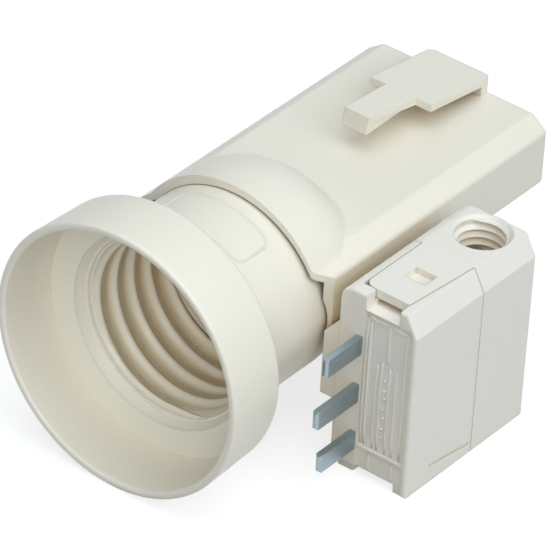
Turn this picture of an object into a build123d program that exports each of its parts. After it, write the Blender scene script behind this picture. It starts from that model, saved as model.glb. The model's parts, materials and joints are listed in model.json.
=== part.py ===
"""Lamp holder with its separate three-pin plug, in millimetres.

The origin is on the lamp's axis at the mouth of the lamp thread. The lamp leaves along -Y, +X is to
the right of someone facing the mouth, and +Z is up. The plug stands on its narrow edge at the right.
"""

import os

from build123d import *

os.makedirs("parts", exist_ok=True)

# Lamp socket: the bore is at the root of an E27 thread, and the thread's ridge is a later detail
SOCKET_R = 13.45
SOCKET_LENGTH = 14.6
WELL_STEP = 0.55
WELL_LENGTH = 6.9
SOCKET_WELL_R = SOCKET_R - WELL_STEP
SOCKET_FLOOR_Y = SOCKET_LENGTH + WELL_LENGTH
LEAD_IN = 0.5
LEAD_IN_R = SOCKET_R + LEAD_IN
LEAD_IN_Y = -1.6
LINE_STEP = 0.2

# Skirt ring round the lamp's cap
SKIRT_FLOOR_Y = -3.0
SKIRT_EDGE = 1.5
SKIRT_EDGE_R = SOCKET_R + SKIRT_EDGE
SKIRT_RIM_Y = -12.5
SKIRT_R_FRONT = 20.75
SKIRT_DRAFT = 0.4
SKIRT_R_BACK = SKIRT_R_FRONT - SKIRT_DRAFT
SKIRT_WALL = 1.2
SKIRT_FLOOR_R = SKIRT_R_BACK - SKIRT_WALL
SKIRT_BACK_Y = -2.05
SKIRT_BACK_ROUND = 0.8
RIM_ROUND = 0.45
NEAR = 0.01

# Barrel and its round end, with the saddle-shaped dome of the housing over them
BARREL_WALL = 1.75
BARREL_R = SOCKET_R + BARREL_WALL
BARREL_NECK_ROUND = 0.6
BARREL_GAP = 0.3
LIP_GAP = 0.6
LIP_SHIFT = 0.39
LIP_DEPTH = 1.2
DOME_WALL = 1.1
DOME_TURN_Y = 16.5
DOME_CORE_R = 4.6
CAP_ARC_R = BARREL_R - DOME_CORE_R
DOME_IN_R = BARREL_R + BARREL_GAP
DOME_OUT_R = DOME_IN_R + DOME_WALL
DOME_FILLET = 1.3
ARCH_Y = 12.0

# Flat housing behind the dome
DOME_TRIM = 0.7
CHAMFER_X = 2.7
CHAMFER_H = 1.95
FLAT_Z = 9.3
SLAB_HALF = DOME_OUT_R - DOME_TRIM
FLAT_HALF = SLAB_HALF - CHAMFER_X
CHAMFER_Z = FLAT_Z - CHAMFER_H
SLAB_BOTTOM_Z = -1.7
SLAB_REAR_Y = 64.0
SLAB_WALL = 1.5
SLAB_ROUND = 1.0
REAR_ROUND = 0.9
SIDE_WALL = 0.9
SIDE_RECESS_Z = 6.8
SIDE_ROOF_X = 1.8
SIDE_ROOF_H = SIDE_ROOF_X * CHAMFER_H / CHAMFER_X
SIDE_RECESS_Y1 = 17.0
CORNER_X = 2.0
CORNER_Y = 2.8
RIB_WIDTH = 2.5
CAVITY_HALF = SLAB_HALF - RIB_WIDTH
CAVITY_TOP_Z = 7.9
CAVITY_FRONT_Y = 30.0
CAVITY_REAR_Y = SLAB_REAR_Y - SLAB_WALL
FIT_GAP = 0.3

# T-shaped key: a springy tongue that rises from the rear end of the flat towards the front
KEY_REAR = 2.4
KEY_SLOPE = 0.14
KEY_T = 1.1
KEY_BAR_HALF = 5.4
KEY_BAR_LENGTH = 14.4
KEY_LENGTH = 24.8
KEY_STEM_HALF = 2.7
KEY_TIP_HALF = 2.1
KEY_BITE = 1.7
KEY_ROOT = 2.2
KEY_ROUND = 1.1

# Tongue on the barrel's round end, clamped between the housing and the base plate
TONGUE_HALF = 10.4
TONGUE_Z0 = 0.4
TONGUE_Z1 = 6.4
TONGUE_Y0 = SOCKET_FLOOR_Y
TONGUE_Y1 = 34.0
PAD_HALF = 7.0
PAD_Y0 = 31.0
PAD_Y1 = 33.6

# Base plate under the housing
PLATE_LEDGE = 1.4
PLATE_HALF = SLAB_HALF - PLATE_LEDGE
PLATE_TOP_Z = -0.5
PLATE_Y0 = 29.4
PLATE_Y1 = 63.0

# Current path of the holder
PIN_PITCH = 8.0
LEAD_W = 2.6
LEAD_T = 0.8
LEAD_Z = 3.8
LEAD_GAP = 0.05
LEAD_PROUD = 0.6
CARRIER_GAP = 1.1
CARRIER_R = SOCKET_WELL_R - CARRIER_GAP
CARRIER_T = 2.4
CARRIER_Y0 = SOCKET_FLOOR_Y - CARRIER_T
LEAD_Y0 = CARRIER_Y0 - LEAD_PROUD
LEAD_Y1 = 53.0
CLIP_HALF = 2.2
CLIP_T = 0.6
CLIP_Y1 = CAVITY_REAR_Y - FIT_GAP
CLIP_BLOCK_Y0 = 50.0
CLIP_BLOCK_HALF = CAVITY_HALF - FIT_GAP
CONTACT_T = 0.5
CONTACT_Z0 = -2.0
CONTACT_Z1 = LEAD_Z - LEAD_T / 2
CONTACT_RISE = 2.3
SIDE_CONTACT_GAP = 0.6
SIDE_CONTACT_X = SOCKET_WELL_R - SIDE_CONTACT_GAP
RIVET_R = 0.9
RIVET_HEAD_R = 1.5
RIVET_HEAD = 0.5
RIVET_X = 5.4
RIVET_Z = 0.6

# Plug: outer block, standing beside the housing at the level of the skirt's lowest point
KEY_RIB_X0 = SLAB_HALF + FIT_GAP
KEY_RIB_W = 2.6
PLUG_X0 = KEY_RIB_X0 + KEY_RIB_W
PLUG_W = 13.2
PLUG_X1 = PLUG_X0 + PLUG_W
PLUG_Z0 = -SKIRT_R_FRONT
PLUG_H = 30.1
PLUG_Z1 = PLUG_Z0 + PLUG_H
PLUG_Y0 = 12.25
PLUG_L = 27.15
PLUG_Y1 = PLUG_Y0 + PLUG_L
PLUG_SEAM = 15.05
PLUG_SEAM_Y = PLUG_Y0 + PLUG_SEAM
PLUG_LEFT_ROUND = 2.4
PLUG_CHAMFER_X = 1.8
PLUG_CHAMFER_Z = 3.3
PLUG_WALL = 1.3
PLUG_ROUND = 0.5
SEAM_GAP = 0.1

# Plug: front block
FOOT_RISE = 1.35
FOOT_WALL = 2.3
FOOT_LOBE_INSET = 1.3
FOOT_LOBE_X0 = PLUG_X0 + FOOT_LOBE_INSET
FOOT_LOBE_W = 3.2
FOOT_LOBE_L = 3.0
FOOT_LOBE_ROUND = 1.2
FOOT_CORNER = 1.5
KEY_RIB_RISE = 10.3
KEY_RIB_H = 13.9
KEY_RIB_Z0 = PLUG_Z0 + KEY_RIB_RISE
KEY_RIB_Z1 = KEY_RIB_Z0 + KEY_RIB_H
KEY_RIB_SLOPE = 3.6
KEY_RIB_L = 11.75
KEY_RIB_Y1 = PLUG_Y0 + KEY_RIB_L
CORE_GAP = 0.3
CORE_DROP = 5.65
CORE_TOP_Z = PLUG_Z1 - CORE_DROP
CORE_LENGTH = 22.15
CORE_Y1 = PLUG_Y0 + CORE_LENGTH
PANEL_DEPTH = 0.3
PANEL_EDGE = 0.9
PANEL_BASE = 5.2
PANEL_LINE = 0.4

# Plug: latch tongue of the hood
LATCH_X0 = PLUG_X0 + PLUG_LEFT_ROUND
LATCH_X1 = PLUG_X1 - PLUG_CHAMFER_X - FIT_GAP
LATCH_TAPER = 1.1
LATCH_SETBACK = 2.15
LATCH_Y0 = PLUG_Y0 + LATCH_SETBACK
LATCH_T = 1.4
LATCH_GAP = 0.15
LATCH_ROUND = 1.5
SLOT_LEAD = 0.35
STRIP_DROP = 2.6
STRIP_RISE = 0.6
STRIP_X1 = LATCH_X1 - LATCH_TAPER + LATCH_GAP
SLOT_INSET = 2.4
SLOT_X0 = LATCH_X0 + SLOT_INSET
SLOT_X1 = STRIP_X1 - LATCH_GAP - FIT_GAP
SLOT_DROP = 2.2
POCKET_INSET = 2.8
POCKET_X0 = LATCH_X0 + POCKET_INSET
POCKET_W = 3.6
POCKET_X1 = POCKET_X0 + POCKET_W
POCKET_SETBACK = 5.0
POCKET_Y0 = LATCH_Y0 + POCKET_SETBACK
POCKET_L = 2.7
POCKET_Y1 = POCKET_Y0 + POCKET_L
POCKET_DEPTH = 0.9
GROOVE_RISE = 2.2
GROOVE_SETBACK = 9.9
GROOVE_L = 9.3
GROOVE_TILT = -7.5
GROOVE_H = 0.5
GROOVE_DEPTH = 0.35

# Plug: threaded cable entry
ENTRY_FROM_SIDE = 6.95
ENTRY_FROM_REAR = 4.5
ENTRY_X = PLUG_X0 + ENTRY_FROM_SIDE
ENTRY_Y = PLUG_Y1 - ENTRY_FROM_REAR
ENTRY_R = 3.9
ENTRY_LEAD = 0.45
ENTRY_BOSS_R = 4.4
ENTRY_BOSS = 5.25

# Plug: pins, terminals and screws
PIN_INSET = 3.75
PIN_X = PLUG_X0 + PIN_INSET
PIN_T = 1.0
PIN_H = 2.9
PIN_LENGTH = 7.75
EARTH_EXTRA = 1.4
PIN_TIP = 0.3
PIN_RISE = 13.65
PIN_MID_Z = PLUG_Z0 + PIN_RISE
TERMINAL_W = 5.4
TERMINAL_X0 = PIN_X - TERMINAL_W / 2 + PIN_T
TERMINAL_X1 = TERMINAL_X0 + TERMINAL_W
TERMINAL_HALF = 2.5
TERMINAL_SETBACK = 16.35
TERMINAL_Y0 = PLUG_Y0 + TERMINAL_SETBACK
TERMINAL_Y1 = TERMINAL_Y0 + TERMINAL_W
WIRE_R = 1.1
SCREW_R = 1.1
SCREW_GAP = 0.3
SCREW_HEAD_R = 1.8
SCREW_HEAD = 1.3
SCREW_FOOT = 2.3
SCREW_SLOT = 0.5
SCREW_Y = TERMINAL_Y1 - SCREW_FOOT

PANEL_X0 = PIN_X + PIN_T / 2 + LINE_STEP
PANEL_X1 = PLUG_X1 - PANEL_EDGE
PIN_ZS = {"line": PIN_MID_Z + PIN_PITCH, "earth": PIN_MID_Z, "neutral": PIN_MID_Z - PIN_PITCH}


def box_between(x0, x1, y0, y1, z0, z1, mode=Mode.ADD):
    """A box given by its limits along each axis."""
    with Locations(((x0 + x1) / 2, (y0 + y1) / 2, (z0 + z1) / 2)):
        Box(x1 - x0, y1 - y0, z1 - z0, mode=mode)


def across(y):
    """A plane facing the front at the given depth, with X to the right and Z up."""
    return Plane(origin=(0, y, 0), x_dir=(1, 0, 0), z_dir=(0, -1, 0))


# Skirt, barrel and round end: one turned moulding, with the clamped tongue behind it
with BuildPart() as lamp_barrel:
    with BuildSketch(Plane.XY) as profile:
        with BuildLine():
            Polyline(
                (DOME_CORE_R, DOME_TURN_Y + CAP_ARC_R),
                (0, DOME_TURN_Y + CAP_ARC_R),
                (0, SOCKET_FLOOR_Y),
                (SOCKET_WELL_R, SOCKET_FLOOR_Y),
                (SOCKET_WELL_R, SOCKET_LENGTH),
                (SOCKET_R, SOCKET_LENGTH),
                (SOCKET_R, 0),
                (LEAD_IN_R, LEAD_IN_Y),
                (LEAD_IN_R + LINE_STEP, LEAD_IN_Y),
                (SKIRT_EDGE_R, SKIRT_FLOOR_Y + LINE_STEP),
                (SKIRT_EDGE_R, SKIRT_FLOOR_Y),
                (SKIRT_FLOOR_R, SKIRT_FLOOR_Y),
                (SKIRT_R_FRONT - SKIRT_WALL, SKIRT_RIM_Y),
                (SKIRT_R_FRONT, SKIRT_RIM_Y),
                (SKIRT_R_BACK, SKIRT_BACK_Y),
                (BARREL_R, SKIRT_BACK_Y),
                (BARREL_R, DOME_TURN_Y),
            )
            CenterArc((DOME_CORE_R, DOME_TURN_Y), CAP_ARC_R, 0, 90)
        make_face()
        rim = profile.vertices().filter_by_position(Axis.Y, SKIRT_RIM_Y - NEAR, SKIRT_RIM_Y + NEAR)
        fillet(rim, RIM_ROUND)
        back = profile.vertices().filter_by_position(Axis.Y, SKIRT_BACK_Y - NEAR, SKIRT_BACK_Y + NEAR)
        fillet(back.sort_by(Axis.X)[-1], SKIRT_BACK_ROUND)
        fillet(back.sort_by(Axis.X)[0], BARREL_NECK_ROUND)
    revolve(axis=Axis.Y)
    box_between(-TONGUE_HALF, TONGUE_HALF, TONGUE_Y0, TONGUE_Y1, TONGUE_Z0, TONGUE_Z1)
    for side in (-1, 1):
        with Locations((side * PIN_PITCH, (SOCKET_FLOOR_Y + TONGUE_Y1) / 2, LEAD_Z)):
            Box(
                LEAD_W + 2 * LEAD_GAP,
                TONGUE_Y1 - SOCKET_FLOOR_Y,
                LEAD_T + 2 * LEAD_GAP,
                mode=Mode.SUBTRACT,
            )
lamp_barrel.part.label = "lamp_barrel"
export_step(lamp_barrel.part, "parts/lamp_barrel.step")

# Housing: flat slab, dome over the barrel's end and key, one moulding open below
with BuildPart() as holder_housing:
    with BuildSketch(across(SLAB_REAR_Y)) as section:
        with BuildLine():
            Polyline(
                (-FLAT_HALF, FLAT_Z),
                (FLAT_HALF, FLAT_Z),
                (SLAB_HALF, CHAMFER_Z),
                (SLAB_HALF, SLAB_BOTTOM_Z),
                (-SLAB_HALF, SLAB_BOTTOM_Z),
                (-SLAB_HALF, CHAMFER_Z),
                close=True,
            )
        make_face()
        fillet(section.vertices(), SLAB_ROUND)
    extrude(amount=SLAB_REAR_Y - ARCH_Y)
    fillet(holder_housing.faces().sort_by(Axis.Y)[-1].edges(), REAR_ROUND)
    with BuildSketch(Plane.XY):
        with BuildLine():
            Polyline(
                (DOME_CORE_R, DOME_TURN_Y + DOME_OUT_R - DOME_CORE_R),
                (0, DOME_TURN_Y + DOME_OUT_R - DOME_CORE_R),
                (0, ARCH_Y),
                (DOME_OUT_R, ARCH_Y),
                (DOME_OUT_R, DOME_TURN_Y),
            )
            CenterArc((DOME_CORE_R, DOME_TURN_Y), DOME_OUT_R - DOME_CORE_R, 0, 90)
        make_face()
    revolve(axis=Axis.Y)
    box_between(
        -DOME_OUT_R, DOME_OUT_R, ARCH_Y, CAVITY_FRONT_Y, -DOME_OUT_R, SLAB_BOTTOM_Z, mode=Mode.SUBTRACT
    )
    for side in (-1, 1):
        with Locations((side * (SLAB_HALF + DOME_OUT_R), CAVITY_FRONT_Y, 0)):
            Box(2 * DOME_OUT_R, 2 * CAVITY_FRONT_Y, 2 * DOME_OUT_R, mode=Mode.SUBTRACT)
    seat = holder_housing.edges().filter_by_position(Axis.Z, FLAT_Z - NEAR, FLAT_Z + NEAR)
    fillet(seat.filter_by(GeomType.LINE, reverse=True), DOME_FILLET)
    with BuildSketch(Plane.XY):
        Polygon(
            (SLAB_HALF - CORNER_X, ARCH_Y),
            (DOME_OUT_R, ARCH_Y),
            (DOME_OUT_R, ARCH_Y + CORNER_Y * (CORNER_X + DOME_TRIM) / CORNER_X),
            align=None,
        )
    extrude(amount=DOME_OUT_R, both=True, mode=Mode.SUBTRACT)
    with Locations(Plane(origin=(LIP_SHIFT, ARCH_Y, -LIP_SHIFT), z_dir=(0, 1, 0))):
        Cylinder(
            BARREL_R + LIP_GAP,
            LIP_DEPTH,
            align=(Align.CENTER, Align.CENTER, Align.MIN),
            mode=Mode.SUBTRACT,
        )
    with BuildSketch(Plane.XY):
        with BuildLine():
            Polyline(
                (DOME_CORE_R, DOME_TURN_Y + DOME_IN_R - DOME_CORE_R),
                (0, DOME_TURN_Y + DOME_IN_R - DOME_CORE_R),
                (0, ARCH_Y + LIP_DEPTH),
                (DOME_IN_R, ARCH_Y + LIP_DEPTH),
                (DOME_IN_R, DOME_TURN_Y),
            )
            CenterArc((DOME_CORE_R, DOME_TURN_Y), DOME_IN_R - DOME_CORE_R, 0, 90)
        make_face()
    revolve(axis=Axis.Y, mode=Mode.SUBTRACT)
    with BuildSketch(across(SIDE_RECESS_Y1)):
        Polygon(
            (SLAB_HALF - SIDE_WALL, SLAB_BOTTOM_Z),
            (SLAB_HALF - SIDE_WALL, SIDE_RECESS_Z),
            (SLAB_HALF - SIDE_WALL - SIDE_ROOF_X, SIDE_RECESS_Z + SIDE_ROOF_H),
            (-SLAB_HALF + SIDE_WALL + SIDE_ROOF_X, SIDE_RECESS_Z + SIDE_ROOF_H),
            (-SLAB_HALF + SIDE_WALL, SIDE_RECESS_Z),
            (-SLAB_HALF + SIDE_WALL, SLAB_BOTTOM_Z),
            align=None,
        )
    extrude(amount=SIDE_RECESS_Y1 - ARCH_Y, mode=Mode.SUBTRACT)
    box_between(
        -CAVITY_HALF,
        CAVITY_HALF,
        CAVITY_FRONT_Y,
        CAVITY_REAR_Y,
        SLAB_BOTTOM_Z,
        CAVITY_TOP_Z,
        mode=Mode.SUBTRACT,
    )
    box_between(
        -PLATE_HALF, PLATE_HALF, PLATE_Y0, PLATE_Y1, SLAB_BOTTOM_Z, PLATE_TOP_Z, mode=Mode.SUBTRACT
    )
    box_between(
        -TONGUE_HALF - FIT_GAP,
        TONGUE_HALF + FIT_GAP,
        TONGUE_Y0,
        CAVITY_FRONT_Y,
        TONGUE_Z0 - FIT_GAP,
        TONGUE_Z1 + FIT_GAP,
        mode=Mode.SUBTRACT,
    )
    box_between(-PAD_HALF, PAD_HALF, PAD_Y0, PAD_Y1, TONGUE_Z1, CAVITY_TOP_Z)
    for step in (-1, 0, 1):
        with Locations((step * PIN_PITCH, SLAB_REAR_Y - SLAB_WALL / 2, LEAD_Z)):
            Box(
                PIN_H + 2 * LATCH_GAP,
                SLAB_WALL,
                PIN_T + 2 * LATCH_GAP,
                mode=Mode.SUBTRACT,
            )
    key_top = FLAT_Z + KEY_REAR
    incline = Plane(origin=(0, SLAB_REAR_Y, key_top), x_dir=(1, 0, 0), z_dir=(0, KEY_SLOPE, 1))
    with BuildSketch(incline) as key:
        Polygon(
            (-KEY_BAR_HALF, 0),
            (KEY_BAR_HALF, 0),
            (KEY_BAR_HALF, -KEY_BAR_LENGTH),
            (KEY_STEM_HALF, -KEY_BAR_LENGTH),
            (KEY_TIP_HALF, -KEY_LENGTH),
            (-KEY_TIP_HALF, -KEY_LENGTH),
            (-KEY_STEM_HALF, -KEY_BAR_LENGTH),
            (-KEY_BAR_HALF, -KEY_BAR_LENGTH),
            align=None,
        )
        fillet(key.vertices().sort_by(Axis.Y)[-2:], KEY_ROUND)
    extrude(amount=-KEY_T)
    with BuildSketch(Plane(origin=incline.origin, x_dir=incline.y_dir, z_dir=incline.x_dir)):
        Polygon(
            (-KEY_BAR_LENGTH, -KEY_T),
            (-KEY_LENGTH, -KEY_T),
            (-KEY_LENGTH, -KEY_T - KEY_BITE),
            align=None,
        )
    extrude(amount=KEY_TIP_HALF, both=True)
    with BuildSketch(Plane.XY.offset(CAVITY_TOP_Z)) as root:
        with Locations((0, SLAB_REAR_Y - KEY_ROOT / 2)):
            Rectangle(2 * KEY_BAR_HALF, KEY_ROOT)
        fillet(root.vertices().sort_by(Axis.Y)[-2:], KEY_ROUND)
    extrude(amount=key_top - CAVITY_TOP_Z - KEY_T / 2)
holder_housing.part.label = "holder_housing"
export_step(holder_housing.part, "parts/holder_housing.step")

# Base plate that closes the flat housing from below and lifts the tongue against the housing's pad
with BuildPart() as base_plate:
    box_between(-PLATE_HALF, PLATE_HALF, PLATE_Y0, PLATE_Y1, SLAB_BOTTOM_Z, PLATE_TOP_Z)
    box_between(-PAD_HALF, PAD_HALF, PAD_Y0, PAD_Y1, PLATE_TOP_Z, TONGUE_Z0)
base_plate.part.label = "base_plate"
export_step(base_plate.part, "parts/base_plate.step")

# Insulating carrier on the socket's floor
with BuildPart() as contact_carrier:
    with BuildSketch(across(SOCKET_FLOOR_Y)):
        Circle(CARRIER_R)
        with Locations((-PIN_PITCH, LEAD_Z), (PIN_PITCH, LEAD_Z)):
            Rectangle(LEAD_W + 2 * LEAD_GAP, LEAD_T + 2 * LEAD_GAP, mode=Mode.SUBTRACT)
        with Locations((-RIVET_X, RIVET_Z), (RIVET_X, RIVET_Z)):
            Circle(RIVET_R, mode=Mode.SUBTRACT)
    extrude(amount=CARRIER_T)
contact_carrier.part.label = "contact_carrier"
export_step(contact_carrier.part, "parts/contact_carrier.step")

# Centre contact: a leaf riveted at the right that rises to the lamp's axis
with BuildPart() as centre_contact:
    with BuildSketch(Plane.XY.offset(CONTACT_Z0)):
        with BuildLine():
            Polyline(
                (PIN_PITCH, CARRIER_Y0),
                (PIN_PITCH, CARRIER_Y0 - CONTACT_T),
                (RIVET_X - RIVET_HEAD_R, CARRIER_Y0 - CONTACT_T),
                (RIVET_X - 2 * RIVET_HEAD_R, CARRIER_Y0 - CONTACT_RISE),
                (-RIVET_HEAD_R, CARRIER_Y0 - CONTACT_RISE),
                (-RIVET_HEAD_R, CARRIER_Y0 - CONTACT_RISE + CONTACT_T),
                (RIVET_X - 2 * RIVET_HEAD_R + CONTACT_T / 2, CARRIER_Y0 - CONTACT_RISE + CONTACT_T),
                (RIVET_X - RIVET_HEAD_R + CONTACT_T / 2, CARRIER_Y0),
                close=True,
            )
        make_face()
    extrude(amount=CONTACT_Z1 - CONTACT_Z0)
    with Locations(Plane(origin=(RIVET_X, CARRIER_Y0, RIVET_Z), z_dir=(0, -1, 0))):
        Cylinder(
            RIVET_R,
            CONTACT_T,
            align=(Align.CENTER, Align.CENTER, Align.MIN),
            mode=Mode.SUBTRACT,
        )
centre_contact.part.label = "centre_contact"
export_step(centre_contact.part, "parts/centre_contact.step")

# Side contact: a leaf riveted at the left whose end stands against the lamp's screw shell
with BuildPart() as side_contact:
    with BuildSketch(Plane.XY.offset(CONTACT_Z0)):
        with BuildLine():
            Polyline(
                (-RIVET_X + RIVET_HEAD_R, CARRIER_Y0),
                (-SIDE_CONTACT_X, CARRIER_Y0),
                (-SIDE_CONTACT_X, CARRIER_Y0 - 2 * CONTACT_RISE + CONTACT_T),
                (-SIDE_CONTACT_X + CONTACT_T, CARRIER_Y0 - 2 * CONTACT_RISE + CONTACT_T),
                (-SIDE_CONTACT_X + CONTACT_T, CARRIER_Y0 - CONTACT_T),
                (-RIVET_X + RIVET_HEAD_R, CARRIER_Y0 - CONTACT_T),
                close=True,
            )
        make_face()
    extrude(amount=CONTACT_Z1 - CONTACT_Z0)
    with Locations(Plane(origin=(-RIVET_X, CARRIER_Y0, RIVET_Z), z_dir=(0, -1, 0))):
        Cylinder(
            RIVET_R,
            CONTACT_T,
            align=(Align.CENTER, Align.CENTER, Align.MIN),
            mode=Mode.SUBTRACT,
        )
side_contact.part.label = "side_contact"
export_step(side_contact.part, "parts/side_contact.step")

# Rivets through both contacts and the carrier
with BuildPart() as contact_rivets:
    for side in (-1, 1):
        with Locations(Plane(origin=(side * RIVET_X, SOCKET_FLOOR_Y, RIVET_Z), z_dir=(0, -1, 0))):
            Cylinder(RIVET_R, CARRIER_T + CONTACT_T, align=(Align.CENTER, Align.CENTER, Align.MIN))
        with Locations(Plane(origin=(side * RIVET_X, CARRIER_Y0 - CONTACT_T, RIVET_Z), z_dir=(0, -1, 0))):
            Cylinder(RIVET_HEAD_R, RIVET_HEAD, align=(Align.CENTER, Align.CENTER, Align.MIN))
contact_rivets.part.label = "contact_rivets"
export_step(contact_rivets.part, "parts/contact_rivets.step")


def lead(side):
    """A straight strip from a contact, through carrier and barrel, to its clip."""
    box_between(
        side * PIN_PITCH - LEAD_W / 2,
        side * PIN_PITCH + LEAD_W / 2,
        LEAD_Y0,
        LEAD_Y1,
        LEAD_Z - LEAD_T / 2,
        LEAD_Z + LEAD_T / 2,
    )


def clip(side):
    """A folded receptacle with two jaws, one above and one below the pin's plane."""
    x0 = side * PIN_PITCH - CLIP_HALF
    x1 = side * PIN_PITCH + CLIP_HALF
    inner = PIN_T / 2 + LEAD_GAP
    box_between(x0, x1, LEAD_Y1, LEAD_Y1 + CLIP_T, LEAD_Z - inner - CLIP_T, LEAD_Z + inner + CLIP_T)
    box_between(x0, x1, LEAD_Y1, CLIP_Y1, LEAD_Z + inner, LEAD_Z + inner + CLIP_T)
    box_between(x0, x1, LEAD_Y1, CLIP_Y1, LEAD_Z - inner - CLIP_T, LEAD_Z - inner)


with BuildPart() as line_lead:
    lead(1)
line_lead.part.label = "line_lead"
export_step(line_lead.part, "parts/line_lead.step")

with BuildPart() as neutral_lead:
    lead(-1)
neutral_lead.part.label = "neutral_lead"
export_step(neutral_lead.part, "parts/neutral_lead.step")

with BuildPart() as line_clip:
    clip(1)
line_clip.part.label = "line_clip"
export_step(line_clip.part, "parts/line_clip.step")

with BuildPart() as neutral_clip:
    clip(-1)
neutral_clip.part.label = "neutral_clip"
export_step(neutral_clip.part, "parts/neutral_clip.step")

# Insulating block under the clips
with BuildPart() as clip_block:
    box_between(
        -CLIP_BLOCK_HALF,
        CLIP_BLOCK_HALF,
        CLIP_BLOCK_Y0,
        CLIP_Y1,
        PLATE_TOP_Z,
        LEAD_Z - PIN_T / 2 - LEAD_GAP - CLIP_T,
    )
clip_block.part.label = "clip_block"
export_step(clip_block.part, "parts/clip_block.step")


def plug_outline(inset=0.0):
    """The plug's section seen from the front, chamfered at the top right."""
    Polygon(
        (PLUG_X0 + inset, PLUG_Z0 + inset),
        (PLUG_X1 - inset, PLUG_Z0 + inset),
        (PLUG_X1 - inset, PLUG_Z1 - PLUG_CHAMFER_Z - inset / 2),
        (PLUG_X1 - PLUG_CHAMFER_X - inset / 2, PLUG_Z1 - inset),
        (PLUG_X0 + inset, PLUG_Z1 - inset),
        align=None,
    )


def latch_outline(gap=0.0):
    """The latch tongue seen from above, narrower at its tip, or its slot with the given gap round it."""
    Polygon(
        (LATCH_X0 - gap, LATCH_Y0 - gap),
        (LATCH_X1 - LATCH_TAPER + gap, LATCH_Y0 - gap),
        (LATCH_X1 + gap, PLUG_SEAM_Y),
        (LATCH_X1 + gap, PLUG_SEAM_Y + PLUG_WALL),
        (LATCH_X0 - gap, PLUG_SEAM_Y + PLUG_WALL),
        align=None,
    )


def top_left(part):
    """The long edge at the top left of the plug, as seen from the front."""
    return part.edges().filter_by(Axis.Y).sort_by(lambda edge: edge.center().X - edge.center().Z)[0]


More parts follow.
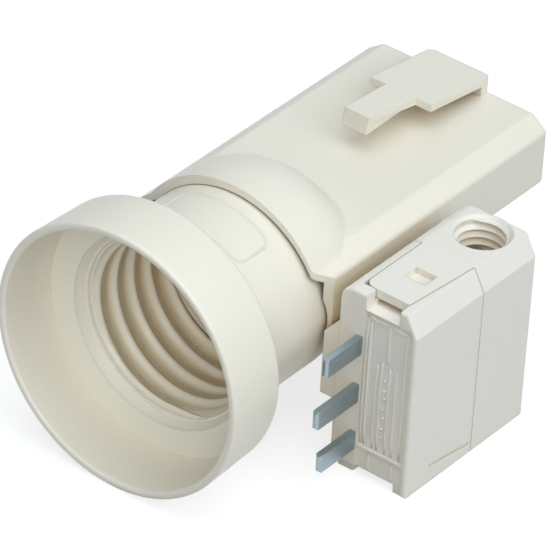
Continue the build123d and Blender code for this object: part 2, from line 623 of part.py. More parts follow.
# Plug base: front block with the key rib, and a core behind it for the terminals
with BuildPart() as plug_base:
    with BuildSketch(across(PLUG_SEAM_Y - SEAM_GAP)):
        plug_outline()
    extrude(amount=PLUG_SEAM_Y - SEAM_GAP - PLUG_Y0)
    fillet(top_left(plug_base), PLUG_LEFT_ROUND)
    fillet(plug_base.faces().sort_by(Axis.Y)[0].edges(), PLUG_ROUND)
    box_between(
        PLUG_X0,
        PLUG_X1 - FOOT_WALL,
        PLUG_Y0,
        PLUG_SEAM_Y,
        PLUG_Z0,
        PLUG_Z0 + FOOT_RISE,
        mode=Mode.SUBTRACT,
    )
    with BuildSketch(across(PLUG_SEAM_Y)):
        Polygon(
            (PLUG_X0, PLUG_Z0 + FOOT_RISE),
            (PLUG_X0 + FOOT_CORNER, PLUG_Z0 + FOOT_RISE),
            (PLUG_X0, PLUG_Z0 + FOOT_RISE + FOOT_CORNER),
            align=None,
        )
    extrude(amount=PLUG_SEAM, mode=Mode.SUBTRACT)
    with BuildSketch(across(PLUG_Y0 + FOOT_LOBE_L)) as lobe:
        with Locations((FOOT_LOBE_X0 + FOOT_LOBE_W / 2, PLUG_Z0 + FOOT_RISE)):
            Rectangle(FOOT_LOBE_W, 2 * FOOT_RISE)
        fillet(lobe.vertices().sort_by(Axis.Z)[:2], FOOT_LOBE_ROUND)
    extrude(amount=FOOT_LOBE_L - PLUG_ROUND)
    box_between(
        PANEL_X0,
        PANEL_X1,
        PLUG_Y0,
        PLUG_Y0 + PANEL_DEPTH,
        PLUG_Z0 + PANEL_BASE,
        PLUG_Z1 - STRIP_DROP,
        mode=Mode.SUBTRACT,
    )
    box_between(
        PANEL_X0,
        PANEL_X1,
        PLUG_Y0,
        PLUG_Y0 + PANEL_DEPTH,
        PLUG_Z0,
        PLUG_Z0 + PANEL_BASE - PANEL_LINE,
        mode=Mode.SUBTRACT,
    )
    with BuildSketch(Plane.YZ.offset(PANEL_X0)):
        Polygon(
            (PLUG_Y0, PLUG_Z1 - STRIP_DROP),
            (LATCH_Y0, PLUG_Z1 - STRIP_DROP + STRIP_RISE),
            (LATCH_Y0, PLUG_Z1),
            (PLUG_Y0, PLUG_Z1),
            align=None,
        )
    extrude(amount=STRIP_X1 - PANEL_X0, mode=Mode.SUBTRACT)
    box_between(
        SLOT_X0,
        SLOT_X1,
        LATCH_Y0 - SLOT_LEAD,
        LATCH_Y0 + LATCH_T,
        PLUG_Z1 - SLOT_DROP,
        PLUG_Z1,
        mode=Mode.SUBTRACT,
    )
    with BuildSketch(Plane.YZ.offset(PLUG_X1)):
        with Locations((PLUG_Y0 + GROOVE_SETBACK, PLUG_Z0 + GROOVE_RISE)):
            SlotOverall(GROOVE_L, GROOVE_H, rotation=GROOVE_TILT)
    extrude(amount=-GROOVE_DEPTH, mode=Mode.SUBTRACT)
    with BuildSketch(across(KEY_RIB_Y1)):
        with BuildLine():
            Polyline(
                (PLUG_X0 + PLUG_ROUND, KEY_RIB_Z0),
                (KEY_RIB_X0, KEY_RIB_Z0),
                (KEY_RIB_X0, KEY_RIB_Z1 - KEY_RIB_SLOPE),
                (PLUG_X0 + PLUG_ROUND, KEY_RIB_Z1),
                close=True,
            )
        make_face()
    extrude(amount=KEY_RIB_Y1 - PLUG_Y0 - PLUG_ROUND)
    box_between(
        PLUG_X0 + PLUG_WALL + CORE_GAP,
        PLUG_X1 - PLUG_WALL - CORE_GAP,
        PLUG_SEAM_Y - SEAM_GAP,
        CORE_Y1,
        PLUG_Z0 + PLUG_WALL + CORE_GAP,
        CORE_TOP_Z,
    )
    with BuildSketch(Plane.XY.offset(PLUG_Z1)):
        latch_outline(LATCH_GAP)
    extrude(amount=-LATCH_T - LATCH_GAP, mode=Mode.SUBTRACT)
    for z in PIN_ZS.values():
        box_between(
            PIN_X - PIN_T / 2,
            PIN_X + PIN_T / 2,
            PLUG_Y0,
            TERMINAL_Y0,
            z - PIN_H / 2,
            z + PIN_H / 2,
            mode=Mode.SUBTRACT,
        )
        box_between(
            TERMINAL_X0,
            TERMINAL_X1,
            TERMINAL_Y0,
            CORE_Y1,
            z - TERMINAL_HALF,
            z + TERMINAL_HALF,
            mode=Mode.SUBTRACT,
        )
        with Locations(Plane(origin=(TERMINAL_X1, SCREW_Y, z), z_dir=(1, 0, 0))):
            Cylinder(
                SCREW_HEAD_R + SCREW_GAP,
                PLUG_X1 - TERMINAL_X1,
                align=(Align.CENTER, Align.CENTER, Align.MIN),
                mode=Mode.SUBTRACT,
            )
plug_base.part.label = "plug_base"
export_step(plug_base.part, "parts/plug_base.step")

# Plug hood: rear shell with the latch tongue and the threaded cable entry, one moulding
with BuildPart() as plug_hood:
    with BuildSketch(across(PLUG_Y1)):
        plug_outline()
    extrude(amount=PLUG_Y1 - PLUG_SEAM_Y)
    fillet(top_left(plug_hood), PLUG_LEFT_ROUND)
    fillet(plug_hood.faces().sort_by(Axis.Y)[-1].edges(), PLUG_ROUND)
    with BuildSketch(across(PLUG_Y1 - PLUG_WALL)):
        plug_outline(PLUG_WALL)
    extrude(amount=PLUG_Y1 - PLUG_WALL - PLUG_SEAM_Y, mode=Mode.SUBTRACT)
    with BuildSketch(Plane.XY.offset(PLUG_Z1)) as tongue:
        latch_outline()
        fillet(tongue.vertices().sort_by(lambda v: v.X + v.Y)[0], LATCH_ROUND)
    extrude(amount=-LATCH_T)
    box_between(
        POCKET_X0,
        POCKET_X1,
        POCKET_Y0,
        POCKET_Y1,
        PLUG_Z1 - POCKET_DEPTH,
        PLUG_Z1,
        mode=Mode.SUBTRACT,
    )
    with Locations((ENTRY_X, ENTRY_Y, PLUG_Z1)):
        Cylinder(ENTRY_BOSS_R, ENTRY_BOSS, align=(Align.CENTER, Align.CENTER, Align.MAX))
        Cylinder(
            ENTRY_R,
            ENTRY_BOSS,
            align=(Align.CENTER, Align.CENTER, Align.MAX),
            mode=Mode.SUBTRACT,
        )
        Cone(
            ENTRY_R,
            ENTRY_R + ENTRY_LEAD,
            ENTRY_LEAD,
            align=(Align.CENTER, Align.CENTER, Align.MAX),
            mode=Mode.SUBTRACT,
        )
plug_hood.part.label = "plug_hood"
export_step(plug_hood.part, "parts/plug_hood.step")


def pin(part, z, extra):
    """A flat blade with a chamfered tip, and its box terminal holed for the wire and for the screw."""
    box_between(
        PIN_X - PIN_T / 2,
        PIN_X + PIN_T / 2,
        PLUG_Y0 - PIN_LENGTH - extra,
        TERMINAL_Y0,
        z - PIN_H / 2,
        z + PIN_H / 2,
    )
    chamfer(part.faces().sort_by(Axis.Y)[0].edges(), PIN_TIP)
    box_between(
        TERMINAL_X0, TERMINAL_X1, TERMINAL_Y0, TERMINAL_Y1, z - TERMINAL_HALF, z + TERMINAL_HALF
    )
    with Locations(Plane(origin=((TERMINAL_X0 + TERMINAL_X1) / 2, TERMINAL_Y1, z), z_dir=(0, -1, 0))):
        Cylinder(
            WIRE_R,
            TERMINAL_Y1 - TERMINAL_Y0 - PIN_T,
            align=(Align.CENTER, Align.CENTER, Align.MIN),
            mode=Mode.SUBTRACT,
        )
    with Locations(Plane(origin=(TERMINAL_X1, SCREW_Y, z), z_dir=(-1, 0, 0))):
        Cylinder(
            SCREW_R + SCREW_GAP,
            SCREW_FOOT + SCREW_GAP,
            align=(Align.CENTER, Align.CENTER, Align.MIN),
            mode=Mode.SUBTRACT,
        )


def screw(z):
    """A terminal screw with a slotted head, standing clear of its terminal by the named gap."""
    with Locations(Plane(origin=(TERMINAL_X1 - SCREW_FOOT, SCREW_Y, z), z_dir=(1, 0, 0))):
        Cylinder(SCREW_R, SCREW_FOOT + SCREW_GAP, align=(Align.CENTER, Align.CENTER, Align.MIN))
    with Locations(Plane(origin=(TERMINAL_X1 + SCREW_GAP, SCREW_Y, z), z_dir=(1, 0, 0))):
        Cylinder(SCREW_HEAD_R, SCREW_HEAD, align=(Align.CENTER, Align.CENTER, Align.MIN))
    box_between(
        TERMINAL_X1 + SCREW_GAP + SCREW_HEAD / 2,
        TERMINAL_X1 + SCREW_GAP + SCREW_HEAD,
        SCREW_Y - SCREW_HEAD_R,
        SCREW_Y + SCREW_HEAD_R,
        z - SCREW_SLOT / 2,
        z + SCREW_SLOT / 2,
        mode=Mode.SUBTRACT,
    )


with BuildPart() as line_pin:
    pin(line_pin, PIN_ZS["line"], 0)
line_pin.part.label = "line_pin"
export_step(line_pin.part, "parts/line_pin.step")

with BuildPart() as earth_pin:
    pin(earth_pin, PIN_ZS["earth"], EARTH_EXTRA)
earth_pin.part.label = "earth_pin"
export_step(earth_pin.part, "parts/earth_pin.step")

with BuildPart() as neutral_pin:
    pin(neutral_pin, PIN_ZS["neutral"], 0)
neutral_pin.part.label = "neutral_pin"
export_step(neutral_pin.part, "parts/neutral_pin.step")

with BuildPart() as line_screw:
    screw(PIN_ZS["line"])
line_screw.part.label = "line_screw"
export_step(line_screw.part, "parts/line_screw.step")

with BuildPart() as earth_screw:
    screw(PIN_ZS["earth"])
earth_screw.part.label = "earth_screw"
export_step(earth_screw.part, "parts/earth_screw.step")

with BuildPart() as neutral_screw:
    screw(PIN_ZS["neutral"])
neutral_screw.part.label = "neutral_screw"
export_step(neutral_screw.part, "parts/neutral_screw.step")
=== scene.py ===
"""Looks of the lamp holder with plug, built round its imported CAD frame.

Everything is in metres in the CAD frame: the origin is on the lamp's axis at the mouth of the lamp
thread, the lamp leaves along -Y, +X is to the right of someone facing the mouth, and +Z is up.
"""

import json
import math

import bmesh
import bpy
import numpy as np
from mathutils import Matrix, Vector


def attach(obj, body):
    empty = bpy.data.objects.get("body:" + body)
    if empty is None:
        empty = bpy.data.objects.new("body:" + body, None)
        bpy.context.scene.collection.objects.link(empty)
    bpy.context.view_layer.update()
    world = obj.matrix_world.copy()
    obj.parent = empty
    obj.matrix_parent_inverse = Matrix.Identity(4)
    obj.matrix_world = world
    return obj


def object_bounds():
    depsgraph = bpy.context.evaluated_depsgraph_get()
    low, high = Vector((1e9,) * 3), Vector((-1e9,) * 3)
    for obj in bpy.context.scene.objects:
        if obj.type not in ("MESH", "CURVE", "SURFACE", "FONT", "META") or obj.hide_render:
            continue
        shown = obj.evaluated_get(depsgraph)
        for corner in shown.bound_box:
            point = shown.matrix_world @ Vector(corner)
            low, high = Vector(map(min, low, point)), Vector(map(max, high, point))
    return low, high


bl_info = {
    "name": "Lamp holder with plug",
    "version": (1, 0, 0),
    "blender": (4, 5, 0),
    "location": "3D View > Sidebar > Lamp holder",
    "description": "Threads, moulded ribs, finishes and stage for a lamp holder and its plug",
    "category": "Object",
}

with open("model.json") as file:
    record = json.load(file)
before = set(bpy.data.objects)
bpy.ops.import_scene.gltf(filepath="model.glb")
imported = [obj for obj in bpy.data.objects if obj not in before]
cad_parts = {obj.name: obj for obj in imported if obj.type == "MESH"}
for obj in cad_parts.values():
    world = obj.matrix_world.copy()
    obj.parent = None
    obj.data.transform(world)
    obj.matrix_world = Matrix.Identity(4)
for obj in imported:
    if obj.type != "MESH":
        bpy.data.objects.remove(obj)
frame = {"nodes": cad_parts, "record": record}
CAD_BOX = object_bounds()
NODES = frame["nodes"]
MOUNTS = {mount["name"]: mount for mount in frame["record"]["mounts"]}
SOCKET = MOUNTS["lamp_socket"]
ENTRY = MOUNTS["cable_entry"]
HOLDER_BODY = "holder_and_plug"
HOOD_BODY = "hood"
MM = 0.001

HOLDER_NODES = ("lamp_barrel", "holder_housing", "base_plate")
PLUG_NODES = ("plug_base", "plug_hood")
INSULATOR_NODES = ("contact_carrier", "clip_block")
PIN_NODES = ("line_pin", "earth_pin", "neutral_pin")
BRASS_NODES = (
    "centre_contact",
    "side_contact",
    "contact_rivets",
    "line_lead",
    "neutral_lead",
    "line_clip",
    "neutral_clip",
)
SCREW_NODES = ("line_screw", "earth_screw", "neutral_screw")

# Plug's front panel in mm: upright lines as (x, low, high), level ones as (z, left, right)
PLUG_FRONT_Y = 12.25 * MM
PANEL_SINK = 0.3 * MM
PANEL_LINES = (
    (23.65, -15.3, 6.2),
    (24.2, -15.3, 5.7),
    (25.65, -15.3, -1.1),
    (26.45, -15.3, -0.3),
    (27.4, -0.4, 6.0),
    (27.8, -15.3, -0.8),
    (28.9, -15.3, -0.9),
    (30.3, -15.3, 6.2),
    (25.3, -19.2, -16.2),
    (29.25, -19.2, -16.2),
)
PANEL_BARS = (
    (6.0, 23.65, 27.1),
    (5.9, 27.7, 30.3),
    (-3.2, 26.9, 27.4),
    (-4.9, 26.8, 27.4),
    (-6.1, 26.9, 27.5),
    (-8.0, 26.8, 27.3),
    (-9.4, 26.9, 27.5),
    (-11.3, 26.8, 27.4),
    (-12.7, 26.9, 27.4),
)

# Bare label field on the barrel: its middle and half sizes as angle from +X and depth along Y
BARREL_R = 15.2 * MM
LABEL_ANGLE = math.radians(85)
LABEL_HALF_ANGLE = math.radians(30)
LABEL_Y = 5.8 * MM
LABEL_HALF_Y = 3.6 * MM
LABEL_SQUARENESS = 6
LABEL_STEPS = 160

# Grid of a rib: points over its round top, steps along a straight one, and the foot under the wall
RIB_TOP_POINTS = 9
RIB_STEPS = 12
RIB_FOOT = 0.1 * MM
RIB_END_SHARE = 0.02

# Grid of a thread, the part of a turn in which it rises from the wall, and how far its ends sink
THREAD_STEPS_PER_TURN = 112
THREAD_POINTS_ACROSS = 31
THREAD_RISE_TURNS = 0.1
THREAD_END_SINK = 0.98
VALLEY_POWER = 6

# Stage: a softbox is (name, place from the object's middle in m, width in m, power in W)
STUDIO_WHITE = (0.9, 0.965, 1.0)
SURROUND_LIGHT = 0.22
FLOOR_HALF = 3.0
SOFTBOXES = (
    ("top_softbox", (0.1, -0.06, 0.9), 1.0, 4.55),
    ("right_softbox", (0.68, -0.04, 0.46), 0.7, 2.55),
    ("front_softbox", (0.4, -0.56, 0.49), 0.4, 1.3),
)
FILL_AIM = Vector((-3 * MM, -10 * MM, -2 * MM))
FILL_OFFSET = (0.22, -0.74, 0.25)
FILL_ANGLE = math.radians(3.1)
FILL_POWER = 7.5
FILL_BLEND = 0.6
FILL_RADIUS = 15 * MM
SENSOR_WIDTH_MM = 36
CLIP_NEAR = 0.01
CLIP_FAR = 20


def hex_to_linear(code):
    """An sRGB hex colour as linear red, green and blue, each channel by the sRGB curve."""
    channels = [int(code[i : i + 2], 16) / 255 for i in (1, 3, 5)]
    return tuple(c / 12.92 if c <= 0.04045 else ((c + 0.055) / 1.055) ** 2.4 for c in channels)


class LampHolderThreads(bpy.types.PropertyGroup):
    """Sizes of the two moulded threads."""

    lamp_pitch: bpy.props.FloatProperty(
        name="Lamp thread pitch",
        description="Rise of the lamp thread in one turn",
        default=3.629 * MM,
        unit="LENGTH",
    )
    lamp_depth: bpy.props.FloatProperty(
        name="Lamp thread depth",
        description="Height of the lamp thread's crest over its root",
        default=0.75 * MM,
        unit="LENGTH",
    )
    entry_pitch: bpy.props.FloatProperty(
        name="Entry thread pitch",
        description="Rise of the cable entry's thread in one turn",
        default=1.25 * MM,
        unit="LENGTH",
    )
    entry_depth: bpy.props.FloatProperty(
        name="Entry thread depth",
        description="Height of the cable entry thread's crest over its root",
        default=0.55 * MM,
        unit="LENGTH",
    )


class LampHolderRibs(bpy.types.PropertyGroup):
    """Sizes of the low moulded lines."""

    panel_width: bpy.props.FloatProperty(
        name="Panel rib width",
        description="Width of the lines in the plug's front panel",
        default=0.34 * MM,
        unit="LENGTH",
    )
    panel_height: bpy.props.FloatProperty(
        name="Panel rib height",
        description="Height of the lines in the plug's front panel",
        default=0.28 * MM,
        unit="LENGTH",
    )
    label_width: bpy.props.FloatProperty(
        name="Label border width",
        description="Width of the border of the bare label field",
        default=0.36 * MM,
        unit="LENGTH",
    )
    label_height: bpy.props.FloatProperty(
        name="Label border height",
        description="Height of the border of the bare label field",
        default=0.07 * MM,
        unit="LENGTH",
    )


class LampHolderFinish(bpy.types.PropertyGroup):
    """Colours of the mouldings and the metal, and tones of painted shade in hollows and gaps."""

    moulding: bpy.props.FloatVectorProperty(
        name="White moulding",
        description="Colour of the holder's white thermoplastic",
        subtype="COLOR",
        size=3,
        min=0,
        max=1,
        default=hex_to_linear("#F2EBDD"),
    )
    plug_moulding: bpy.props.FloatVectorProperty(
        name="Plug moulding",
        description="Colour of the plug's slightly cooler white thermoplastic",
        subtype="COLOR",
        size=3,
        min=0,
        max=1,
        default=hex_to_linear("#F3EDE4"),
    )
    flow_shade: bpy.props.FloatVectorProperty(
        name="Flow shade",
        description="Share of the white thermoplastic's colour that its flow marks give back",
        subtype="COLOR",
        size=3,
        min=0,
        max=1,
        default=(0.975, 0.973, 0.962),
    )
    # Painted shade: the tone that deep recesses turn to, standing in for light bounced many times
    recess_shade_tone: bpy.props.FloatVectorProperty(
        name="Recess tone",
        description="Warmer tone of the white thermoplastic in deep recesses",
        subtype="COLOR",
        size=3,
        min=0,
        max=1,
        default=hex_to_linear("#F2DDB6"),
    )
    # Painted shade: the brown tone that tight gaps between mouldings turn to
    joint_shade_tone: bpy.props.FloatVectorProperty(
        name="Joint tone",
        description="Brown tone of the shade and dust in the tight joints between mouldings",
        subtype="COLOR",
        size=3,
        min=0,
        max=1,
        default=hex_to_linear("#94764E"),
    )
    # Painted shade: the brown tone that the lamp thread's shaded valleys turn to
    valley: bpy.props.FloatVectorProperty(
        name="Thread valley tone",
        description="Brown tone of the lamp thread's valleys, aged by the heat of the lamp",
        subtype="COLOR",
        size=3,
        min=0,
        max=1,
        default=hex_to_linear("#E2CFAC"),
    )
    plate: bpy.props.FloatVectorProperty(
        name="Pin plate",
        description="Colour of the dull nickel plate on the pins",
        subtype="COLOR",
        size=3,
        min=0,
        max=1,
        default=hex_to_linear("#A5B4BE"),
    )
    brass: bpy.props.FloatVectorProperty(
        name="Contact brass",
        description="Colour of the spring brass in the contacts, leads and clips",
        subtype="COLOR",
        size=3,
        min=0,
        max=1,
        default=hex_to_linear("#C8A860"),
    )
    zinc: bpy.props.FloatVectorProperty(
        name="Screw zinc",
        description="Colour of the zinc plate on the terminal screws",
        subtype="COLOR",
        size=3,
        min=0,
        max=1,
        default=hex_to_linear("#C9C9C2"),
    )


class LampHolderStage(bpy.types.PropertyGroup):
    """Camera and floor of the studio."""

    azimuth: bpy.props.FloatProperty(
        name="Azimuth",
        description="Turn of the camera round the object; 0 looks along +Y",
        subtype="ANGLE",
        default=math.radians(36.21),
    )
    elevation: bpy.props.FloatProperty(
        name="Elevation",
        description="Height of the camera above the horizon",
        subtype="ANGLE",
        default=math.radians(35.09),
    )
    roll: bpy.props.FloatProperty(
        name="Roll",
        description="Turn of the camera about its own view",
        subtype="ANGLE",
        default=math.radians(3.71),
    )
    lens: bpy.props.FloatProperty(
        name="Lens",
        description="Focal length for a 36 mm wide sensor",
        default=389.9,
        min=10,
        unit="CAMERA",
    )
    place: bpy.props.FloatVectorProperty(
        name="Camera place",
        description="Where the camera stands",
        subtype="TRANSLATION",
        size=3,
        default=(403.05 * MM, -527.27 * MM, 474.88 * MM),
    )
    floor: bpy.props.FloatVectorProperty(
        name="Floor",
        description="Colour of the plain floor",
        subtype="COLOR",
        size=3,
        min=0,
        max=1,
        default=hex_to_linear("#A2A2A2"),
    )
    floor_lift: bpy.props.FloatProperty(
        name="Floor lift",
        description="Light added to the floor where the camera or a reflection sees it",
        default=0.74,
        min=0,
    )


def add_node(tree, kind, settings=None, inputs=None, links=None):
    """Adds one node with its settings, its inputs' values and its links (input to socket)."""
    node = tree.nodes.new(kind)
    for key, value in (settings or {}).items():
        setattr(node, key, value)
    for key, value in (inputs or {}).items():
        node.inputs[key].default_value = value
    for key, socket in (links or {}).items():
        tree.links.new(socket, node.inputs[key])
    return node


def fresh_material(name):
    """A material of that name, and its node tree, which is empty."""
    material = bpy.data.materials.new(name)
    material.use_nodes = True
    material.node_tree.nodes.clear()
    return material, material.node_tree


def seen_rays(tree):
    """A socket that is 1 for camera, glossy and transmission rays, and 0 for rays of light."""
    rays = add_node(tree, "ShaderNodeLightPath").outputs
    seen = rays["Is Camera Ray"]
    for other in ("Is Glossy Ray", "Is Transmission Ray"):
        seen = add_node(
            tree,
            "ShaderNodeMath",
            settings={"operation": "MAXIMUM"},
            links={0: seen, 1: rays[other]},
        ).outputs["Value"]
    return seen


def moulded_white(
    name, finish, colour, *, grain_mm, roughness, recess_shade, joint_shade, reach=0.4, threaded=False
):
    """Satin white PBT, moulded in a lightly eroded steel tool.

    To the eye: warm ivory white, soft wide highlights, faint cloudy flow marks and a very fine
    grain. Painted shade is mixed into the colour. The share for deep recesses, 0 to 1, is how far
    they turn to a warm shade tone that stands in for light that has bounced many times, and reach
    is the share of open sky at which that begins. The share for tight joints, 0 to 1, is how far
    they turn to a brown tone of painted shade in the gaps. On a thread the mesh's valley
    attribute, 1 in a valley and 0 on a crest, keeps the crests white, and the valley tone, painted
    shade in the valleys, stands in for the warm shade tone of recesses.
    """
    material, tree = fresh_material(name)
    place = add_node(tree, "ShaderNodeTexCoord").outputs["Object"]
    # Flow marks are clouds about 9 mm wide
    flow = add_node(
        tree,
        "ShaderNodeTexNoise",
        inputs={"Scale": 1 / (9 * MM), "Detail": 3.0, "Roughness": 0.55},
        links={"Vector": place},
    )
    # The real grain is about 0.05 mm; it is drawn coarser so that it shows at this picture's size
    grain = add_node(
        tree,
        "ShaderNodeTexNoise",
        inputs={"Scale": 1 / (grain_mm * MM), "Detail": 2.0, "Roughness": 0.6},
        links={"Vector": place},
    )
    shaded = [c * share for c, share in zip(colour, finish.flow_shade)]
    tint = add_node(
        tree,
        "ShaderNodeMix",
        settings={"data_type": "RGBA"},
        inputs={"A": (*colour, 1), "B": (*shaded, 1)},
        links={"Factor": flow.outputs["Fac"]},
    )
    # Painted shade for light that has bounced many times: where little sky is seen the colour
    # warms
    sky = add_node(
        tree,
        "ShaderNodeAmbientOcclusion",
        settings={"samples": 6},
        inputs={"Distance": 30 * MM},
    )
    depth = add_node(
        tree,
        "ShaderNodeMapRange",
        inputs={"From Min": 0.08, "From Max": reach, "To Min": recess_shade, "To Max": 0.0},
        links={"Value": sky.outputs["AO"]},
    )
    share = depth.outputs["Result"]
    # On a thread the painted shade is kept to the valleys
    if threaded:
        valley = add_node(tree, "ShaderNodeAttribute", settings={"attribute_name": "valley"})
        share = add_node(
            tree,
            "ShaderNodeMath",
            settings={"operation": "MULTIPLY"},
            links={0: depth.outputs["Result"], 1: valley.outputs["Fac"]},
        ).outputs["Value"]
    tone = add_node(
        tree,
        "ShaderNodeMix",
        settings={"data_type": "RGBA"},
        inputs={"B": (*(finish.valley if threaded else finish.recess_shade_tone), 1)},
        links={"Factor": share, "A": tint.outputs["Result"]},
    )
    # Painted shade darkens the joints, where the next moulding is within 5 mm nearly all round
    near = add_node(
        tree,
        "ShaderNodeAmbientOcclusion",
        settings={"samples": 6},
        inputs={"Distance": 5 * MM},
    )
    tight = add_node(
        tree,
        "ShaderNodeMapRange",
        inputs={"From Min": 0.05, "From Max": 0.28, "To Min": joint_shade, "To Max": 0.0},
        links={"Value": near.outputs["AO"]},
    )
    # The painted shade of the tight gaps is mixed over the colour here
    aged = add_node(
        tree,
        "ShaderNodeMix",
        settings={"data_type": "RGBA"},
        inputs={"B": (*finish.joint_shade_tone, 1)},
        links={"Factor": tight.outputs["Result"], "A": tone.outputs["Result"]},
    )
    sheen = add_node(
        tree,
        "ShaderNodeMapRange",
        inputs={
            "From Min": 0.3,
            "From Max": 0.7,
            "To Min": roughness - 0.04,
            "To Max": roughness + 0.05,
        },
        links={"Value": grain.outputs["Fac"]},
    )
    # Moulded edges are never sharp: the normals turn over 0.25 mm at every edge
    soft_edge = add_node(
        tree, "ShaderNodeBevel", settings={"samples": 6}, inputs={"Radius": 0.25 * MM}
    )
    bump = add_node(
        tree,
        "ShaderNodeBump",
        inputs={"Strength": 0.12, "Distance": 0.02 * MM},
        links={"Height": grain.outputs["Fac"], "Normal": soft_edge.outputs["Normal"]},
    )
    shader = add_node(
        tree,
        "ShaderNodeBsdfPrincipled",
        inputs={
            "IOR": 1.5,
            "Subsurface Weight": 0.12,
            "Subsurface Radius": (1.0, 0.85, 0.6),
            "Subsurface Scale": 1.2 * MM,
        },
        links={
            "Base Color": aged.outputs["Result"],
            "Roughness": sheen.outputs["Result"],
            "Normal": bump.outputs["Normal"],
        },
    )
    add_node(tree, "ShaderNodeOutputMaterial", links={"Surface": shader.outputs["BSDF"]})
    return material


def rolled_metal(name, colour, *, roughness, line_mm, axis):
    """Strip or wire metal, rolled and punched, bare or plated.

    To the eye: a dull metal gleam broken by fine lines along the rolling direction. The lines are
    stretched noise, line_mm wide and about 6 mm long on the given axis.
    """
    material, tree = fresh_material(name)
    place = add_node(tree, "ShaderNodeTexCoord").outputs["Object"]
    scale = [1 / (line_mm * MM)] * 3
    scale[axis] = 1 / (6 * MM)
    stretched = add_node(
        tree, "ShaderNodeMapping", inputs={"Scale": tuple(scale)}, links={"Vector": place}
    )
    lines = add_node(
        tree,
        "ShaderNodeTexNoise",
        inputs={"Scale": 1.0, "Detail": 2.0, "Roughness": 0.5},
        links={"Vector": stretched.outputs["Vector"]},
    )
    sheen = add_node(
        tree,
        "ShaderNodeMapRange",
        inputs={
            "From Min": 0.3,
            "From Max": 0.7,
            "To Min": roughness - 0.07,
            "To Max": roughness + 0.1,
        },
        links={"Value": lines.outputs["Fac"]},
    )
    tint = add_node(
        tree,
        "ShaderNodeMix",
        settings={"data_type": "RGBA"},
        inputs={"A": (*[c * 0.88 for c in colour], 1), "B": (*colour, 1)},
        links={"Factor": lines.outputs["Fac"]},
    )
    # Punched and plated edges are a little round: the normals turn over 0.15 mm
    soft_edge = add_node(
        tree, "ShaderNodeBevel", settings={"samples": 6}, inputs={"Radius": 0.15 * MM}
    )
    bump = add_node(
        tree,
        "ShaderNodeBump",
        inputs={"Strength": 0.15, "Distance": 0.02 * MM},
        links={"Height": lines.outputs["Fac"], "Normal": soft_edge.outputs["Normal"]},
    )
    shader = add_node(
        tree,
        "ShaderNodeBsdfPrincipled",
        inputs={"Metallic": 1.0},
        links={
            "Base Color": tint.outputs["Result"],
            "Roughness": sheen.outputs["Result"],
            "Normal": bump.outputs["Normal"],
        },
    )
    add_node(tree, "ShaderNodeOutputMaterial", links={"Surface": shader.outputs["BSDF"]})
    return material


def dress(nodes, material):
    """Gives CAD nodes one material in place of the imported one."""
    for name in nodes:
        slots = NODES[name].data.materials
        slots.clear()
        slots.append(material)


def new_object(name, data):
    """An object with that data, linked to the scene."""
    thing = bpy.data.objects.new(name, data)
    bpy.context.scene.collection.objects.link(thing)
    return thing


def tube_quads(nu, nv, first, ring):
    """Quads of a grid of points numbered from first: v closes on itself, and u too on a ring."""
    index = first + np.arange(nu * nv).reshape(nu, nv)
    index = np.concatenate([index, index[:, :1]], axis=1)
    if ring:
        index = np.concatenate([index, index[:1]], axis=0)
    corners = [index[:-1, :-1], index[:-1, 1:], index[1:, 1:], index[1:, :-1]]
    return np.stack(corners, axis=-1).reshape(-1, 4)


def surface_piece(name, grids, body, material, ring=False):
    """One mesh from grids of points, each a profile carried along a path, with capped ends."""
    quads = []
    caps = []
    first = 0
    for grid in grids:
        nu, nv = grid.shape[:2]
        quads.append(tube_quads(nu, nv, first, ring))
        if not ring:
            caps.append(list(range(first + nv - 1, first - 1, -1)))
            caps.append(list(range(first + (nu - 1) * nv, first + nu * nv)))
        first += nu * nv
    faces = np.concatenate(quads).tolist() + caps
    mesh = bpy.data.meshes.new(name)
    mesh.from_pydata(np.concatenate([g.reshape(-1, 3) for g in grids]).tolist(), [], faces)
    shape = bmesh.new()
    shape.from_mesh(mesh)
    bmesh.ops.recalc_face_normals(shape, faces=shape.faces)
    shape.to_mesh(mesh)
    shape.free()
    mesh.polygons.foreach_set("use_smooth", np.arange(len(faces)) < len(faces) - len(caps))
    mesh.materials.append(material)
    mesh.update()
    piece = new_object(name, mesh)
    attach(piece, body)
    return piece


def ridge(s, power):
    """((1 + cos 2 pi s) / 2) ** power: 1 on the crest at s = 0, and 0 half a pitch away."""
    return ((1 + np.cos(2 * np.pi * s)) / 2) ** power


def thread_points(
    *, root, depth, pitch, start, end, low, high, first_angle, hand, axis, centre, back, narrow
):
    """A helical ridge inside a bore, as a closed strip carried round a helix on the given axis.

    At turn t the ridge's middle is at height start + pitch * t and at first_angle + hand * 2 pi t.
    Across one pitch, with s from -1/2 to 1/2, its radius is root + THREAD_END_SINK * back *
    (1 - h) - depth * h * ridge(s, narrow), and h rises smoothly from 0 to 1 over the first and the
    last THREAD_RISE_TURNS, so that the ridge comes out of the wall. The strip's back is at
    root + back, inside the wall, and its heights are kept between low and high.
    """
    turns = (end - start) / pitch
    t = np.linspace(0, turns, int(turns * THREAD_STEPS_PER_TURN) + 1)[:, None]
    s = np.linspace(-0.5, 0.5, THREAD_POINTS_ACROSS)[None, :]
    rise = np.clip(np.minimum(t, turns - t) / THREAD_RISE_TURNS, 0, 1)
    rise = rise * rise * (3 - 2 * rise)
    radius = root + THREAD_END_SINK * back * (1 - rise) - depth * rise * ridge(s, narrow)
    height = np.clip(start + pitch * (t + s), low, high)
    radius = np.concatenate([radius, np.full((len(t), 2), root + back)], axis=1)
    height = np.concatenate([height, height[:, -1:], height[:, :1]], axis=1)
    angle = first_angle + hand * 2 * np.pi * t * np.ones_like(radius)
    across = [a for a in range(3) if a != axis]
    points = np.zeros((*radius.shape, 3))
    points[..., across[0]] = radius * np.cos(angle)
    points[..., across[1]] = radius * np.sin(angle)
    points[..., axis] = height
    return points + np.array(centre)


